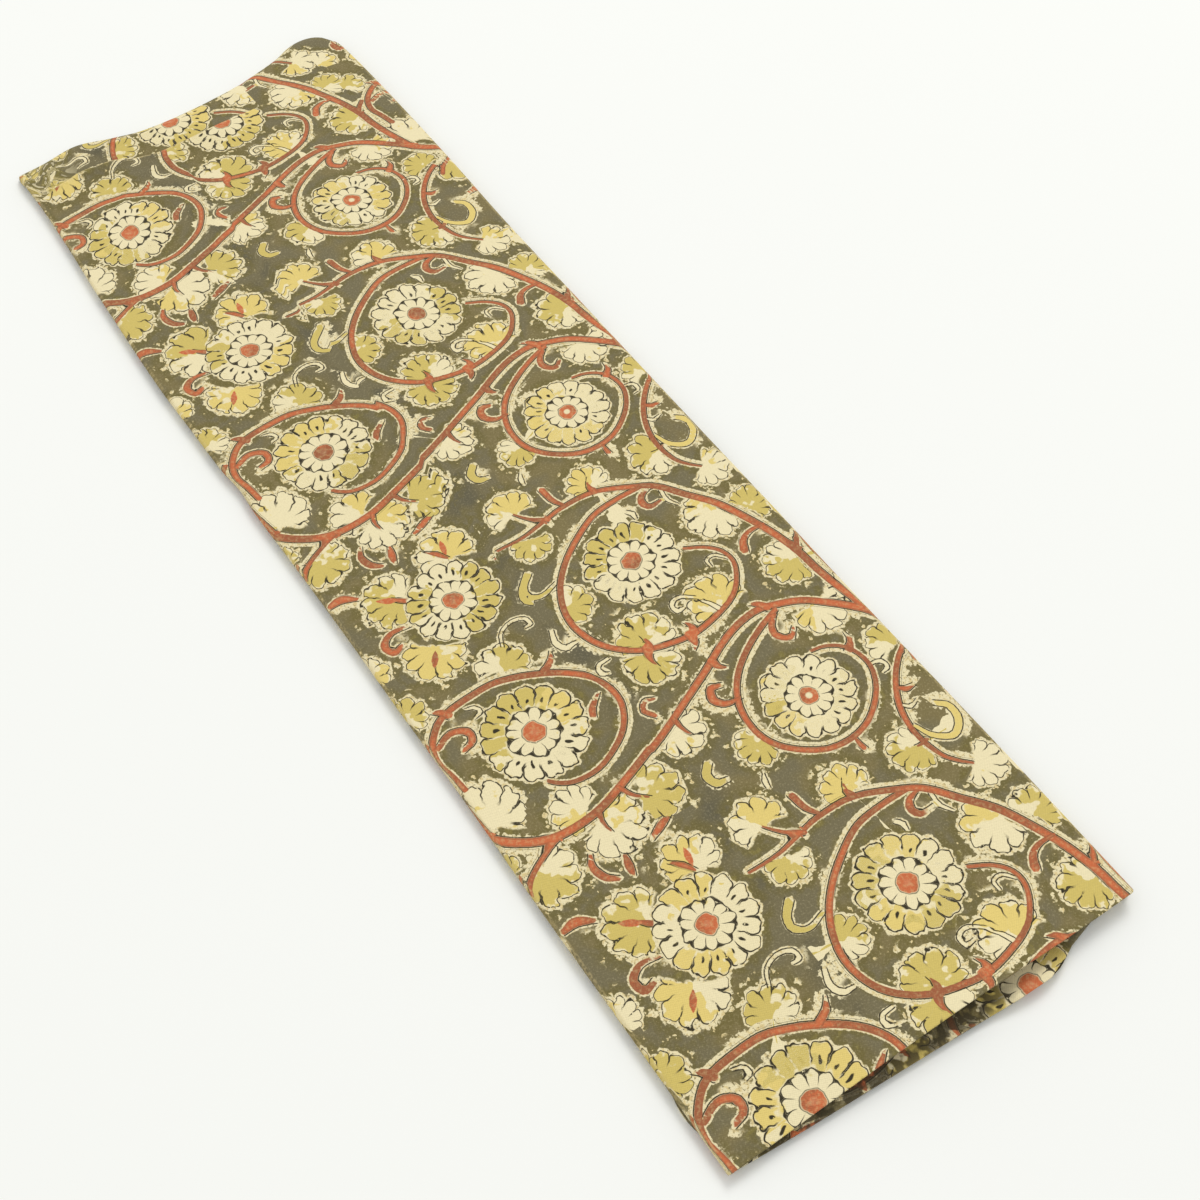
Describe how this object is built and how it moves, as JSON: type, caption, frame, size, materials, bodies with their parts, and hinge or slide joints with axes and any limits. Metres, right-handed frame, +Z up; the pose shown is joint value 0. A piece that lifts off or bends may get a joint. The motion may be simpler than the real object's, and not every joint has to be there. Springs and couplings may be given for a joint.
{
  "type": "folded kalamkari panel",
  "caption": "Block-printed cotton cloth with scrolling vines and rosettes, folded back and forth into a long flat bundle that lies on a surface.",
  "frame": {"origin": "middle of the bundle's bounding box, on the surface that it lies on", "axes": "+Z up, +Y along the bundle from its near end to its far end, +X across it from the left fold to the right fold"},
  "size_m": [0.173, 0.5811, 0.0086],
  "materials": {
    "printed_cotton": "matt plain-weave cotton, hand block-printed in madder red, black, olive and mustard on cream with a dark olive-grey ground"
  },
  "bodies": {
    "root": {"panel": "printed_cotton"}
  },
  "joints": []
}
